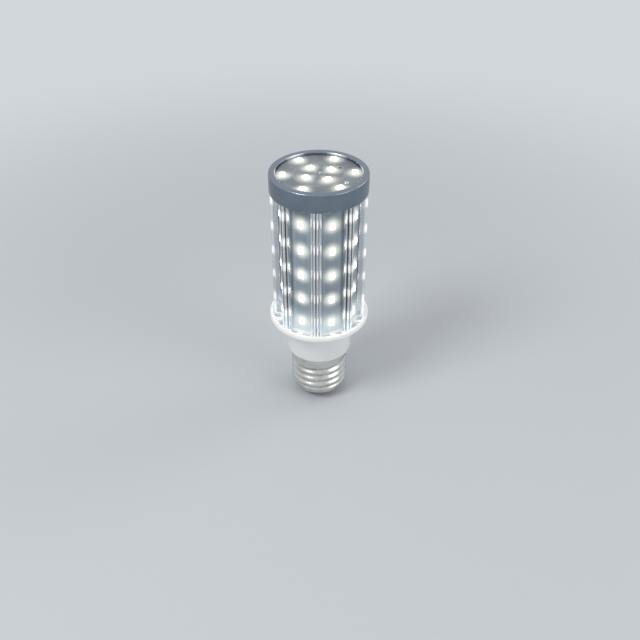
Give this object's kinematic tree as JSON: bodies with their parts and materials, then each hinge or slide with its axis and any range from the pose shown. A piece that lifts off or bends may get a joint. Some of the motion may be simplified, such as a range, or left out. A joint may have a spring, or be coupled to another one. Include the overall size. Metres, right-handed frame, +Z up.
{
  "type": "corn led bulb",
  "caption": "Corn LED bulb: finned octagonal aluminium heat sink with LED strips on its flats, a ring of LEDs on top, white vented flange and neck, and a standard screw cap.",
  "frame": {"origin": "tip of the centre contact, on the bulb's axis", "axes": "+Z up the bulb's axis from the cap to the top board; a fin cluster faces -Y"},
  "size_m": [0.0448, 0.0448, 0.1155],
  "materials": {
    "tin_plate": "tinned, satin",
    "cap_glass": "dark glass, gloss",
    "nickel_plate": "nickel-plated, bright satin",
    "white_plastic": "white, half gloss",
    "satin_aluminium": "as extruded, satin",
    "cast_silver": "silver, fine satin",
    "board_white": "white solder mask",
    "led_phosphor": "pale yellow phosphor, lit white",
    "board_green": "green fibre board",
    "capacitor_film": "dark blue film",
    "red_epoxy": "dipped red-brown",
    "ferrite": "dull black",
    "coil_tape": "yellow tape",
    "chip_black": "black moulding",
    "fuse_tan": "tan moulding",
    "lead_black": "black insulation",
    "lead_red": "red insulation"
  },
  "bodies": {
    "root": {"centre_contact": "tin_plate", "cap_insulator": "cap_glass", "cap_shell": "nickel_plate", "base_housing": "white_plastic", "heat_sink": "satin_aluminium", "led_strip_1": "board_white", "led_strip_2": "board_white", "led_strip_3": "board_white", "led_strip_4": "board_white", "led_strip_5": "board_white", "led_strip_6": "board_white", "led_strip_7": "board_white", "led_strip_8": "board_white", "strip_leds_1": "led_phosphor", "strip_leds_2": "led_phosphor", "strip_leds_3": "led_phosphor", "strip_leds_4": "led_phosphor", "strip_leds_5": "led_phosphor", "strip_leds_6": "led_phosphor", "strip_leds_7": "led_phosphor", "strip_leds_8": "led_phosphor", "strip_jumpers": "tin_plate", "end_cap": "cast_silver", "top_board": "board_white", "top_leds": "led_phosphor", "driver_board": "board_green", "input_capacitor": "capacitor_film", "output_capacitor": "capacitor_film", "film_capacitor": "red_epoxy", "transformer_core": "ferrite", "transformer_winding": "coil_tape", "driver_chip": "chip_black", "bridge_rectifier": "chip_black", "input_fuse": "fuse_tan", "live_ribbon": "tin_plate", "neutral_ribbon": "tin_plate", "led_lead_dark": "lead_black", "led_lead_bright": "lead_red"}
  },
  "joints": []
}
